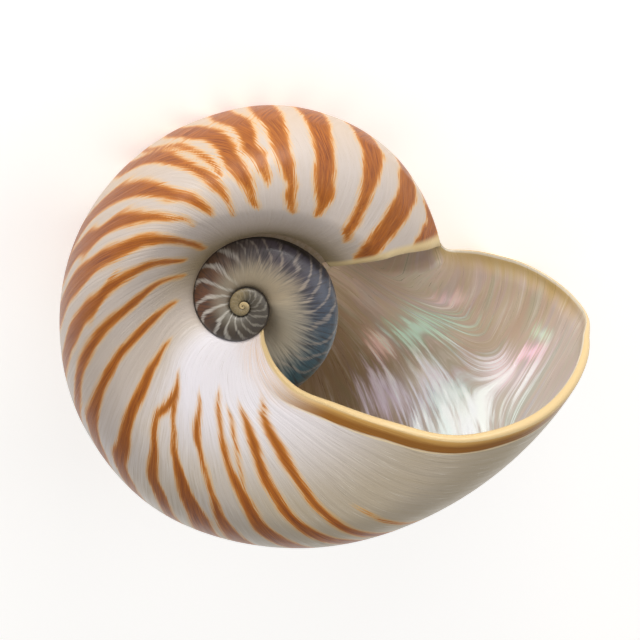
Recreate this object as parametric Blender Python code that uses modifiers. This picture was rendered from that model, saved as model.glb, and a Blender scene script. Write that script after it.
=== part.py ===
"""Nautilus shell with an open umbilicus, grown as one piece.

The large outer whorl is a thin sheet that opens in a wide mouth. Behind the living chamber the
whorl is closed by a concave septum. A small dark coil winds out of the umbilicus and runs down
into the mouth. Everything is worked out in the shell's own frame, in millimetres: Z is the axis
that the shell coils round, pointing out of the open umbilicus, and angles are measured round Z.
At the end the shell is turned so that it lies on its closed side.
"""
import math

import bmesh
import bpy
import numpy as np
from mathutils import Matrix

MM = 0.001

# Small coil in the umbilicus
COIL_LEAN = 25.0
COIL_HEIGHT = 20.0
COIL_RADIUS = 27.4
COIL_RADIUS_AT = 22.0
COIL_GROWTH = 3.72
COIL_LATE_GROWTH = 0.62
COIL_TUBE_WIDTH = 0.40
COIL_TUBE_HEIGHT = 0.26
COIL_DIVE = 10.0
COIL_DIVE_START = 5.0
COIL_DIVE_SPAN = 75.0
COIL_PIECES = [(-70.0, 215.0), (209.0, 500.0), (494.0, 780.0)]
COIL_STEP = 9.5
COIL_SIDES = 16
SEAM_AROUND = 14.0
SEAM_GROW = 0.88

# Outer whorl: the lip's tip and the end of the whorl over the mouth, as angles
TIP_ANGLE = 347.1
END_ANGLE = 3.7
SPAN = TIP_ANGLE - END_ANGLE
END_SEAM_ANGLE = 16.0
SHEET = 2.0
WELD = 0.02

# Section of the outer whorl, every so many degrees back from the lip
BACK = [0, 30, 60, 90, 120, 150, 180, 210, 240, 270, 300, 330, 345]
KEEL_RADIUS = [111.8, 102.5, 98.7, 91.4, 74.7, 60.8, 52.3, 48.4, 49.6, 55.0, 58.2, 60.0, 61.7]
NEAR_HEIGHT = [43.7, 44.8, 43.7, 39.9, 36.1, 32.3, 29.2, 26.5, 24.1, 21.6, 18.6, 14.9, 11.8]
FAR_HEIGHT = [41.9, 42.6, 42.7, 39.6, 34.6, 29.8, 27.2, 25.7, 25.3, 25.1, 24.9, 25.0, 25.4]
CREST_RADIUS = [74.4, 71.9, 63.6, 53.3, 45.9, 40.3, 37.2, 36.0, 35.7, 36.0, 37.2, 40.3, 42.8]
NEAR_HOLLOW = 1.6
FAR_HOLLOW = 1.6
FAR_DIMPLE = 14.0
NEAR_CREST = 0.5
FAR_CREST = 0.46

# Near lip: how far it swings back from the tip, against radius
LIP_RADIUS = [8.7, 12.1, 15.2, 26.0, 37.2, 51.2, 68.8, 85.6, 102.3, 111.9]
LIP_SWING = [-34.0, -45.0, -47.6, -43.8, -31.1, -21.7, -15.1, -8.8, -3.8, 0.0]
LIP_FADE = 0.9
LATE_START = 0.4
LEAN_POWER = 1.2

# Far lip, from the tip to where it meets the earlier whorl
FAR_LIP_AT = [0, 0.10, 0.19, 0.29, 0.36, 0.42, 0.48, 0.54, 0.60, 0.65, 0.70]
FAR_LIP_RADIUS = [111.9, 113.1, 111.4, 105.7, 99.2, 92.6, 85.6, 77.8, 70.1, 64.8, 61.3]
FAR_LIP_SWING = [0, -1.0, -2.0, -2.5, -2.6, -2.5, -2.2, -0.5, 3.5, 9.3, 16.6]
FAR_LIP_Z = [0, -13.0, -23.9, -34.1, -39.4, -41.9, -41.9, -38.1, -29.1, -18.0, -7.1]
FAR_LIP_FADE = 0.085
FAR_SWING_FADE = 0.14

# Where the far lip lies on the closed side of the earlier whorl
LAID_AT = [0.70, 0.74, 0.80, 0.88, 1.0]
LAID_SWING = [16.6, 21.9, 26.9, 33.9, 41.9]
LAID_STEP = 0.8
LAID_START = 0.08
LAID_BLEND = 0.06

# Edge of the earlier whorl over the mouth, from the seam to the far lip
EDGE_AT = [0, 0.2, 0.4, 0.6, 0.8, 1.0]
EDGE_RADIUS = [27.6, 34.7, 43.1, 49.0, 56.4, 61.3]
EDGE_ANGLE = [16.0, 17.2, 14.5, 11.5, 6.8, 3.7]
EDGE_Z = [10.2, 13.0, 11.5, 6.8, -0.3, -7.1]
UNDER_AT = [0, 0.05, 0.10, 0.25, 0.60, 1.0]
UNDER_SWING = [0, -0.5, -0.3, 4.0, 13.5, 22.0]
EDGE_FADE = 0.28
UNDER_FADE = 0.35

# Solid part of the shell behind the septum
SEPTUM_AT = 0.379
SEPTUM_DEPTH = 0.045
FOOT_SCALE = 0.3
SOLID_END_AT = 0.985
SOLID_STEPS = 26
SOLID_DEPTH = 0.8
RUNG_PARTS = (0.25, 0.5, 0.75)
SOLID_NEAR = [0.04, 0.1, 0.2, 0.35, 0.5, 0.62, 0.74, 0.86]
SOLID_FAR = [0.95, 0.85, 0.72, 0.58, 0.46, 0.34, 0.24, 0.12]

# Earlier whorl under the coil, seen in the mouth
COLUMN_TOP_SCALE = 0.70
COLUMN_WAIST = 0.3
COLUMN_FOOT_AT = (1.80, 1.895, 1.945)
COLUMN_STEP = 10.0

# How the shell leans when it lies on its closed side
REST_LEAN_X = -9.486
REST_LEAN_Y = -4.061

# How finely the sheet is divided
SHEET_COLUMNS = 44
LIP_COLUMNS = [0, 0.008, 0.02, 0.035, 0.052, 0.07, 0.09, 0.112]
NEAR_ROWS = [0, 0.06, 0.13, 0.2, 0.28, 0.36, 0.44, 0.52, 0.6, 0.68, 0.76, 0.84, 0.92]
FAR_ROWS = [0, 0.07, 0.14, 0.2, 0.26, 0.32, 0.38, 0.44, 0.5, 0.56, 0.62, 0.67, 0.71, 0.76,
            0.82, 0.89, 0.95]

# Small steps used to find slopes and to follow the seam and the rings under the closed side
SLOPE_STEP = 0.004
LAID_SLOPE_STEP = 0.001
SEAM_REACH = 430
SEAM_POINTS = 861
RING_POINTS = 181


def smooth_table(x, xs, ys):
    """Values of a smooth curve through the points (xs, ys)."""
    xs = np.asarray(xs, float)
    ys = np.asarray(ys, float)
    slope = np.gradient(ys, xs)
    x = np.clip(np.asarray(x, float), xs[0], xs[-1])
    k = np.clip(np.searchsorted(xs, x, side="right") - 1, 0, len(xs) - 2)
    h = xs[k + 1] - xs[k]
    t = (x - xs[k]) / h
    start = (2 * t**3 - 3 * t**2 + 1) * ys[k] + (t**3 - 2 * t**2 + t) * h * slope[k]
    end = (-2 * t**3 + 3 * t**2) * ys[k + 1] + (t**3 - t**2) * h * slope[k + 1]
    return start + end


def ease(x):
    """Smooth step from 0 to 1."""
    x = np.clip(x, 0, 1)
    return x * x * (3 - 2 * x)


def coil_radius(angle):
    """Outer radius of the small coil, a logarithmic spiral that grows more slowly in the mouth."""
    turn = np.asarray(angle, float) - COIL_RADIUS_AT
    turn = np.where(turn < 0, turn * COIL_LATE_GROWTH, turn)
    return COIL_RADIUS * COIL_GROWTH ** (-turn / 360)


def coil_point(angle, around, grow=1.0):
    """Point of the coil's tube: around is 0 on the outside, 90 on the crest, 180 on the inside."""
    angle = np.asarray(angle, float)
    around = np.radians(around)
    radius = coil_radius(angle)
    lean = math.radians(COIL_LEAN)
    out = radius * (1 - COIL_TUBE_WIDTH + grow * COIL_TUBE_WIDTH * np.cos(around))
    up = radius * COIL_TUBE_HEIGHT * (grow * np.sin(around) - 1)
    up = up - COIL_DIVE * ease((COIL_DIVE_START - angle) / COIL_DIVE_SPAN)
    x = out * np.cos(np.radians(angle))
    y = out * np.sin(np.radians(angle))
    return np.stack([x, y * math.cos(lean) + up * math.sin(lean),
                     COIL_HEIGHT + up * math.cos(lean) - y * math.sin(lean)], -1)


def seam(angle):
    """Radius and height of the line where the outer whorl meets the coil."""
    along = np.linspace(0, SEAM_REACH, SEAM_POINTS)
    line = coil_point(along, SEAM_AROUND, SEAM_GROW)
    turned = np.degrees(np.unwrap(np.arctan2(line[:, 1], line[:, 0])))
    radius = np.hypot(line[:, 0], line[:, 1])
    return np.interp(angle, turned, radius), np.interp(angle, turned, line[:, 2])


def section_radii(back):
    """Radius of the keel and of the crest, so many degrees back from the lip."""
    return smooth_table(back, BACK, KEEL_RADIUS), smooth_table(back, BACK, CREST_RADIUS)


def near_section(back, rho, seam_angle):
    """Radius and height on the open side: rho 0 at the seam, 0.5 on the crest, 1 on the keel."""
    keel, crest = section_radii(back)
    height = smooth_table(back, BACK, NEAR_HEIGHT)
    seam_radius, seam_height = seam(seam_angle)
    slope = np.clip(rho / NEAR_CREST, 0, 1)
    arc = np.clip((rho - NEAR_CREST) / (1 - NEAR_CREST), 0, 1) * math.pi / 2
    inner = rho < NEAR_CREST
    rise = seam_radius + (crest - seam_radius) * slope
    radius = np.where(inner, rise, crest + (keel - crest) * np.sin(arc))
    fall = (height - seam_height) * (1 - slope) ** NEAR_HOLLOW
    return radius, np.where(inner, height - fall, height * np.cos(arc))


def far_section(back, s):
    """Radius and height on the closed side: s 0 on the keel, 1 at the centre of the dimple."""
    keel, crest = section_radii(back)
    height = smooth_table(back, BACK, FAR_HEIGHT)
    arc = np.clip(s / FAR_CREST, 0, 1) * math.pi / 2
    rest = 1 - np.clip((s - FAR_CREST) / (1 - FAR_CREST), 0, 1)
    outer = s < FAR_CREST
    radius = np.where(outer, crest + (keel - crest) * np.cos(arc), crest * rest)
    flank = FAR_DIMPLE + (height - FAR_DIMPLE) * (1 - (1 - rest) ** FAR_HOLLOW)
    return radius, -np.where(outer, height * np.sin(arc), flank)


def laid_section(s):
    """Radius and height of the far lip where it lies on the earlier whorl, a step outside it."""
    start = LAID_START + (s - FAR_LIP_AT[-1]) / (1 - FAR_LIP_AT[-1]) * (1 - LAID_START)
    start = np.clip(start, 0, 1 - LAID_SLOPE_STEP)
    radius, height = far_section(0 * s + SPAN, start)
    radius2, height2 = far_section(0 * s + SPAN, start + LAID_SLOPE_STEP)
    length = np.hypot(radius2 - radius, height2 - height)
    return (radius - LAID_STEP * (height2 - height) / length,
            height + LAID_STEP * (radius2 - radius) / length)


def seam_angles(t):
    """Angle round the coil at which each step of the outer whorl meets it."""
    fade = 1 - ease(t / LIP_FADE)
    late = ease((t - LATE_START) / (1 - LATE_START))
    return TIP_ANGLE - t * SPAN + LIP_SWING[0] * fade + (END_SEAM_ANGLE - END_ANGLE) * late


def near_side(t, rho):
    """Radius, height and angle on the open side, from the lip (t = 0) to the end (t = 1)."""
    back = t * SPAN
    fade = 1 - ease(t / LIP_FADE)
    late = ease((t - LATE_START) / (1 - LATE_START))
    end = ease((t - 1 + EDGE_FADE) / EDGE_FADE)
    keel_angle = TIP_ANGLE - back
    radius, height = near_section(back, rho, seam_angles(t))
    lip_radius, _ = near_section(0 * back, rho, 0 * back + TIP_ANGLE + LIP_SWING[0])
    lean = (END_SEAM_ANGLE - END_ANGLE) * (1 - rho) ** LEAN_POWER
    angle = keel_angle + smooth_table(lip_radius, LIP_RADIUS, LIP_SWING) * fade + lean * late
    end_radius, end_height = near_section(0 * back + SPAN, rho, 0 * back + END_SEAM_ANGLE)
    radius = radius + (smooth_table(rho, EDGE_AT, EDGE_RADIUS) - end_radius) * end
    height = height + (smooth_table(rho, EDGE_AT, EDGE_Z) - end_height) * end
    angle = angle + (smooth_table(rho, EDGE_AT, EDGE_ANGLE) - END_ANGLE - lean) * end
    return radius, height, angle


def far_side(t, s):
    """Radius, height and angle on the closed side, from the lip (t = 0) to the end (t = 1)."""
    back = t * SPAN
    end = ease((t - 1 + EDGE_FADE) / EDGE_FADE)
    radius, height = far_section(back, s)
    plain_radius, plain_height = far_section(0 * back, s)
    laid_radius, laid_height = laid_section(s)
    free = s < FAR_LIP_AT[-1]
    blend = np.clip((s - FAR_LIP_AT[-1]) / LAID_BLEND, 0, 1)
    laid_radius = FAR_LIP_RADIUS[-1] * (1 - blend) + laid_radius * blend
    laid_height = FAR_LIP_Z[-1] * (1 - blend) + laid_height * blend
    lip_radius = np.where(free, smooth_table(s, FAR_LIP_AT, FAR_LIP_RADIUS), laid_radius)
    lip_height = np.where(free, smooth_table(s, FAR_LIP_AT, FAR_LIP_Z), laid_height)
    laid_swing = smooth_table(s, LAID_AT, LAID_SWING)
    swing = np.where(free, smooth_table(s, FAR_LIP_AT, FAR_LIP_SWING), laid_swing)
    shape = 1 - ease(t / FAR_LIP_FADE)
    radius = radius + (lip_radius - plain_radius) * shape
    height = height + (lip_height - plain_height) * shape
    angle = TIP_ANGLE - back + swing * (1 - ease(t / FAR_SWING_FADE))
    early = (1 - ease(s / UNDER_FADE)) * end
    radius = radius + (EDGE_RADIUS[-1] - KEEL_RADIUS[-1]) * early
    height = height + EDGE_Z[-1] * early
    angle = angle + smooth_table(s, UNDER_AT, UNDER_SWING) * end
    return radius, height, angle


def whorl(t, rho):
    """Point of the outer whorl's outside: rho 0 at the seam, 1 on the keel, 2 in the far dimple."""
    t, rho = np.broadcast_arrays(np.asarray(t, float), np.asarray(rho, float))
    near = near_side(t, np.clip(rho, 0, 1))
    far = far_side(t, np.clip(rho - 1, 0, 1))
    radius, height, angle = (np.where(rho <= 1, a, b) for a, b in zip(near, far))
    angle = np.radians(angle)
    return np.stack([radius * np.cos(angle), radius * np.sin(angle), height], -1)


def whorl_inside(t, rho, depth):
    """Point under the outer whorl's outside by the given depth."""
    t, rho = np.broadcast_arrays(np.asarray(t, float), np.asarray(rho, float))
    step = SLOPE_STEP
    along = whorl(np.clip(t + step, 0, 1), rho) - whorl(np.clip(t - step, 0, 1), rho)
    across = whorl(t, np.clip(rho + step, 0, 2)) - whorl(t, np.clip(rho - step, 0, 2))
    normal = np.cross(across, along)
    normal /= np.linalg.norm(normal, axis=-1, keepdims=True)
    return whorl(t, rho) + depth * normal


def mesh_object(name, points, faces, collection, closed=True):
    """Object from points in millimetres and faces. A closed one gets its faces turned outwards."""
    mesh = bpy.data.meshes.new(name)
    mesh.from_pydata([tuple(p * MM) for p in points], [], faces)
    if closed:
        work = bmesh.new()
        work.from_mesh(mesh)
        bmesh.ops.recalc_face_normals(work, faces=work.faces)
        if work.calc_volume(signed=True) < 0:
            bmesh.ops.reverse_faces(work, faces=work.faces)
        work.to_mesh(mesh)
        work.free()
    item = bpy.data.objects.new(name, mesh)
    collection.objects.link(item)
    return item


def grid_faces(columns, rows, closed=False):
    """Quads between the points of a grid numbered column by column."""
    last = rows if closed else rows - 1
    return [(i * rows + j, (i + 1) * rows + j, (i + 1) * rows + (j + 1) % rows,
             i * rows + (j + 1) % rows)
            for i in range(columns - 1) for j in range(last)]


def sheet_columns():
    """Steps from the lip back to the end of the whorl, closer together at the lip."""
    rest = np.linspace(LIP_COLUMNS[-1], 1, SHEET_COLUMNS - len(LIP_COLUMNS) + 1)
    return np.concatenate([LIP_COLUMNS[:-1], rest])


def outer_sheet(collection):
    """The outer whorl as an open surface that starts a little inside the coil."""
    t = sheet_columns()
    rho = np.concatenate([NEAR_ROWS, 1 + np.asarray(FAR_ROWS)])
    points = whorl(t[:, None], rho[None, :])
    faces = grid_faces(len(t), len(rho))
    return mesh_object("shell", points.reshape(-1, 3), faces, collection, closed=False)


def rungs_between(start, end, parts):
    """Points between two rows of points."""
    return [start * (1 - part) + end * part for part in parts]


def solid_part(collection):
    """Closed block that fills the whorl from the septum back to the edge over the mouth."""
    steps = np.linspace(SEPTUM_AT, SOLID_END_AT, SOLID_STEPS)
    loops = []
    for t in steps:
        near = whorl_inside(t, SOLID_NEAR, SOLID_DEPTH)
        keel = whorl_inside(t, [1.0], SOLID_DEPTH)
        far = whorl_inside(t, 1 + np.asarray(SOLID_FAR), SOLID_DEPTH)
        heart = coil_point(seam_angles(t), 0, 0.0)
        foot = far[0] * [FOOT_SCALE, FOOT_SCALE, 1]
        wall = rungs_between(foot, heart, RUNG_PARTS)
        loops.append(np.concatenate([[heart], near, keel, far[::-1], [foot], wall]))
    rows = len(loops[0])
    points = list(np.concatenate(loops))
    faces = grid_faces(len(steps), rows, closed=True)
    faces += end_cap(points, 0, rows, SEPTUM_AT, SEPTUM_DEPTH)
    faces += end_cap(points, (len(steps) - 1) * rows, rows, SOLID_END_AT, 0.0)
    return mesh_object("solid_part", points, faces, collection)


def end_cap(points, first, rows, t, depth):
    """Faces that close one end of the solid part, hollowed by up to the given depth in steps t."""
    count = len(RUNG_PARTS)
    half = (rows - count - 1) // 2
    rungs = [[first] + [first + rows - 1 - i for i in range(count)] + [first + rows - 1 - count]]
    for k in range(1, half):
        rung = [first + k]
        for part in RUNG_PARTS:
            deeper = t + depth * math.sin(math.pi * part) * math.sin(math.pi * k / half)
            near = whorl_inside(deeper, SOLID_NEAR[k - 1], SOLID_DEPTH)
            far = whorl_inside(deeper, 1 + SOLID_FAR[k - 1], SOLID_DEPTH)
            rung.append(len(points))
            points.append(near * (1 - part) + far * part)
        rungs.append(rung + [first + rows - 1 - count - k])
    faces = []
    for inner, outer in zip(rungs[:-1], rungs[1:]):
        faces += [(inner[i], inner[i + 1], outer[i + 1], outer[i]) for i in range(count + 1)]
    keel = first + half
    faces += [(rungs[-1][i], rungs[-1][i + 1], keel) for i in range(count + 1)]
    return faces


def coil_piece(index, first, last, collection):
    """One stretch of the coil as a closed tube with a middle point in each end."""
    angles = np.linspace(first, last, int((last - first) / COIL_STEP) + 1)
    around = np.arange(COIL_SIDES) * 360 / COIL_SIDES
    rings = coil_point(angles[:, None] + 0 * around[None, :], around[None, :])
    columns, rows = rings.shape[:2]
    ends = coil_point(np.array([first, last]), 0, 0.0)
    points = np.concatenate([rings.reshape(-1, 3), ends])
    faces = grid_faces(columns, rows, closed=True)
    for start, middle in ((0, columns * rows), ((columns - 1) * rows, columns * rows + 1)):
        faces += [(start + j, start + (j + 1) % rows, middle) for j in range(rows)]
    return mesh_object(f"coil_{index}", points, faces, collection)


def far_ring(angles, rho):
    """Points just under the closed side, one at each angle."""
    ring = whorl_inside(np.linspace(0, 1, RING_POINTS), rho, SOLID_DEPTH)
    turned = np.degrees(np.unwrap(np.arctan2(ring[:, 1], ring[:, 0])))
    wanted = (angles - turned[-1]) % 360 + turned[-1]
    return np.stack([np.interp(wanted, turned[::-1], ring[::-1, k]) for k in range(3)], -1)


def column_under_coil(collection):
    """The earlier whorl below the coil: a loft from the coil's outline down to the closed side."""
    angles = np.arange(COIL_PIECES[0][0] + 2, COIL_PIECES[0][0] + 360, COLUMN_STEP)
    top = coil_point(angles, 0, 0.0)
    out = COLUMN_TOP_SCALE * coil_radius(angles) / np.hypot(top[:, 0], top[:, 1])
    top = top * np.stack([out, out, 1 + 0 * out], -1)
    feet = [far_ring(angles, rho) for rho in COLUMN_FOOT_AT]
    waist = top * [1, 1, COLUMN_WAIST]
    loops = np.stack([top, waist, *feet])
    columns, rows = loops.shape[:2]
    centres = [[0, 0, top[:, 2].mean()], [0, 0, feet[-1][:, 2].mean()]]
    points = np.concatenate([loops.reshape(-1, 3), centres])
    faces = grid_faces(columns, rows, closed=True)
    for start, centre in ((0, len(points) - 2), ((columns - 1) * rows, len(points) - 1)):
        faces += [(start + j, start + (j + 1) % rows, centre) for j in range(rows)]
    return mesh_object("column", points, faces, collection)


def add_union(target, cutter):
    """Join a piece to the target and hide it as a cutter."""
    cutter.display_type = "WIRE"
    cutter.hide_render = True
    joined = target.modifiers.new(cutter.name, "BOOLEAN")
    joined.operation = "UNION"
    joined.solver = "EXACT"
    joined.object = cutter
    joined.use_self = cutter.name in ("solid_part", "column")


def pearl_material():
    """Cream-white pearly shell."""
    material = bpy.data.materials.new("pearly_shell")
    material.use_nodes = True
    shader = material.node_tree.nodes["Principled BSDF"]
    shader.inputs["Base Color"].default_value = (0.72, 0.62, 0.52, 1)
    shader.inputs["Roughness"].default_value = 0.3
    shader.inputs["Metallic"].default_value = 0.0
    return material


def rest_place(sheet):
    """Turn that lays the shell on its closed side, centred over the origin and touching z = 0."""
    lean_x = Matrix.Rotation(math.radians(REST_LEAN_X), 4, "X")
    turn = Matrix.Rotation(math.radians(REST_LEAN_Y), 4, "Y") @ lean_x
    corners = np.array([turn @ vertex.co for vertex in sheet.data.vertices])
    low, high = corners.min(0), corners.max(0)
    shift = Matrix.Translation((-(low[0] + high[0]) / 2, -(low[1] + high[1]) / 2, -low[2]))
    return shift @ turn


def new_collection(name):
    """Collection linked to the scene."""
    collection = bpy.data.collections.new(name)
    bpy.context.scene.collection.children.link(collection)
    return collection


def build():
    """Make the shell."""
    for item in list(bpy.data.objects):
        bpy.data.objects.remove(item, do_unlink=True)
    parts = new_collection("nautilus_shell")
    cutters = new_collection("cutters")
    shell = outer_sheet(parts)
    thicken = shell.modifiers.new("sheet", "SOLIDIFY")
    thicken.thickness = SHEET * MM
    thicken.offset = -1
    add_union(shell, solid_part(cutters))
    add_union(shell, column_under_coil(cutters))
    for index, (first, last) in enumerate(COIL_PIECES):
        add_union(shell, coil_piece(index, first, last, cutters))
    tidy = shell.modifiers.new("tidy", "WELD")
    tidy.merge_threshold = WELD * MM
    shell.data.materials.append(pearl_material())
    place = rest_place(shell)
    for item in (*parts.objects, *cutters.objects):
        item.matrix_world = place


build()
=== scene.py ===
"""Nautilus shell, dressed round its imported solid.

The outer whorl, the walls inside it, the column under the coil and the small dark coil are
worked out in the shell's own frame, in millimetres: Z is the axis that the shell coils round and
angles are measured round Z. place() then turns them to how the shell lies, in metres.
"""

import math

import bpy
import numpy as np
from mathutils import Matrix, Vector


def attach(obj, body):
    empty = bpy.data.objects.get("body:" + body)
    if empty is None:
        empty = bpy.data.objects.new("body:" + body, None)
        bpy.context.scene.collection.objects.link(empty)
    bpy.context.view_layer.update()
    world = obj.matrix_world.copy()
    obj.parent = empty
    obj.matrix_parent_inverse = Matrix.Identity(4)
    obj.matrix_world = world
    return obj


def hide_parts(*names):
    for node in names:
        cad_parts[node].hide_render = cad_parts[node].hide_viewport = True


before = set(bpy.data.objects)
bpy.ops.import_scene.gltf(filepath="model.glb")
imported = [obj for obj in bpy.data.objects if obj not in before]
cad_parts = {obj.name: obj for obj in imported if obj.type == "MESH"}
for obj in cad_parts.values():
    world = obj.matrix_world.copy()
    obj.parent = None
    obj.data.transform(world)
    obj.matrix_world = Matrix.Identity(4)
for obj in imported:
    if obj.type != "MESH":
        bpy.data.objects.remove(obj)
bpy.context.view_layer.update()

MM = 0.001

# How the shell lies: its lean round X and Y, and where its coiling axis then stands
REST_LEAN_X = -9.486
REST_LEAN_Y = -4.061
REST_SHIFT = (-25.799, 21.136, 31.441)

# The looks stay this much inside the solid's flat facets, drawn in to the middle of its box
FIT = 0.9965
FIT_MIDDLE = (0.0, 0.0, 72.0)

# Small coil in the umbilicus
COIL_LEAN = 25.0
COIL_HEIGHT = 20.0
COIL_RADIUS = 27.4
COIL_RADIUS_AT = 22.0
COIL_GROWTH = 3.72
COIL_LATE_GROWTH = 0.62
COIL_TUBE_WIDTH = 0.40
COIL_TUBE_HEIGHT = 0.26
COIL_DIVE = 10.0
COIL_DIVE_START = 5.0
COIL_DIVE_SPAN = 75.0
COIL_START = -70.0
COIL_END = 1180.0
SEAM_AROUND = 14.0
SEAM_GROW = 0.88

# Outer whorl: the lip's tip and the end of the whorl over the mouth, as angles
TIP_ANGLE = 347.1
END_ANGLE = 3.7
SPAN = TIP_ANGLE - END_ANGLE
END_SEAM_ANGLE = 16.0
SHEET = 2.0

# The far lip thins to this, over so many millimetres, from one place across on, over a width
FAR_LIP_SHEET = 0.8
FAR_LIP_THINNING = 8.0
FAR_LIP_FROM = 0.95
FAR_LIP_OVER = 0.25

# The near lip swells inwards by this, over so many millimetres. Across the shell it rises up to
# one place, and falls from another over a width.
NEAR_LIP_SWELL = 1.3
NEAR_LIP_SWELLING = 7.0
NEAR_LIP_RISE = 0.15
NEAR_LIP_FALL = (0.9, 0.2)

# Section of the outer whorl, every so many degrees back from the lip
BACK = [0, 30, 60, 90, 120, 150, 180, 210, 240, 270, 300, 330, 345]
KEEL_RADIUS = [111.8, 102.5, 98.7, 91.4, 74.7, 60.8, 52.3, 48.4, 49.6, 55.0, 58.2, 60.0, 61.7]
NEAR_HEIGHT = [43.7, 44.8, 43.7, 39.9, 36.1, 32.3, 29.2, 26.5, 24.1, 21.6, 18.6, 14.9, 11.8]
FAR_HEIGHT = [41.9, 42.6, 42.7, 39.6, 34.6, 29.8, 27.2, 25.7, 25.3, 25.1, 24.9, 25.0, 25.4]
CREST_RADIUS = [74.4, 71.9, 63.6, 53.3, 45.9, 40.3, 37.2, 36.0, 35.7, 36.0, 37.2, 40.3, 42.8]
NEAR_HOLLOW = 1.6
FAR_HOLLOW = 1.6
FAR_DIMPLE = 14.0
NEAR_CREST = 0.5
FAR_CREST = 0.46

# Near lip: how far it swings back from the tip, against radius
LIP_RADIUS = [8.7, 12.1, 15.2, 26.0, 37.2, 51.2, 68.8, 85.6, 102.3, 111.9]
LIP_SWING = [-34.0, -45.0, -47.6, -43.8, -31.1, -21.7, -15.1, -8.8, -3.8, 0.0]
LIP_FADE = 0.9
LATE_START = 0.4
LEAN_POWER = 1.2

# Far lip, from the tip to where it meets the earlier whorl
FAR_LIP_AT = [0, 0.10, 0.19, 0.29, 0.36, 0.42, 0.48, 0.54, 0.60, 0.65, 0.70]
FAR_LIP_RADIUS = [111.9, 113.1, 111.4, 105.7, 99.2, 92.6, 85.6, 77.8, 70.1, 64.8, 61.3]
FAR_LIP_SWING = [0, -1.0, -2.0, -2.5, -2.6, -2.5, -2.2, -0.5, 3.5, 9.3, 16.6]
FAR_LIP_Z = [0, -13.0, -23.9, -34.1, -39.4, -41.9, -41.9, -38.1, -29.1, -18.0, -7.1]
FAR_LIP_FADE = 0.085
FAR_SWING_FADE = 0.14

# Where the far lip lies on the closed side of the earlier whorl
LAID_AT = [0.70, 0.74, 0.80, 0.88, 1.0]
LAID_SWING = [16.6, 21.9, 26.9, 33.9, 41.9]
LAID_STEP = 0.8
LAID_START = 0.08
LAID_BLEND = 0.06

# Edge of the earlier whorl over the mouth, from the seam to the far lip
EDGE_AT = [0, 0.2, 0.4, 0.6, 0.8, 1.0]
EDGE_RADIUS = [27.6, 34.7, 43.1, 49.0, 56.4, 61.3]
EDGE_ANGLE = [16.0, 17.2, 14.5, 11.5, 6.8, 3.7]
EDGE_Z = [10.2, 13.0, 11.5, 6.8, -0.3, -7.1]
UNDER_AT = [0, 0.05, 0.10, 0.25, 0.60, 1.0]
UNDER_SWING = [0, -0.5, -0.3, 4.0, 13.5, 22.0]
EDGE_FADE = 0.28
UNDER_FADE = 0.35

# Walls inside: the septum, the end over the mouth, and the column under the coil
SEPTUM_AT = 0.379
SEPTUM_DEPTH = 0.045
SOLID_END_AT = 0.985
SOLID_DEPTH = 0.8
SOLID_REACH = (0.04, 1.95)
FOOT_SCALE = 0.3
COLUMN_TOP_SCALE = 0.70
COLUMN_WAIST = 0.3
COLUMN_FEET = (1.80, 1.895, 1.945)

# How finely the surfaces are divided. The round rim takes up the sheet's last steps, and its own
# last steps are nacre.
WHORL_STEPS = 330
WHORL_CROWD = 1.12
RIM_STEPS = 7
RIM_TAKES = 2
RIM_NACRE = 2
NEAR_ROWS = 72
FAR_ROWS = 44
FAR_LAST = 0.985
LIP_RUN_STEPS = 60

# Steps over which the surface's slopes, and its direction at the edges, are measured
SLOPE_STEP = 0.004
EDGE_STEP = 0.006
LAID_SLOPE_STEP = 0.001

# Steps and rows of the block behind the living chamber, and the rings of its two faces
BLOCK_STEPS = 110
BLOCK_ROWS = 70
BLOCK_BACK_ROWS = 11
SEPTUM_RINGS = 24
BLOCK_END_RINGS = 12

# The column's degrees between points and rings between outlines, and the coil's steps up to its
# middle angle and after it, and points around. Walls are creased where they bend more than this.
COLUMN_STEP = 3.0
COLUMN_RINGS = 8
COIL_MIDDLE = 300.0
COIL_STEPS = 420
COIL_ROWS = 56
CREASE_ANGLE = 50.0

# The inner pieces are given as this far from the lip, in millimetres
FAR_FROM_LIP = 60.0

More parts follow.
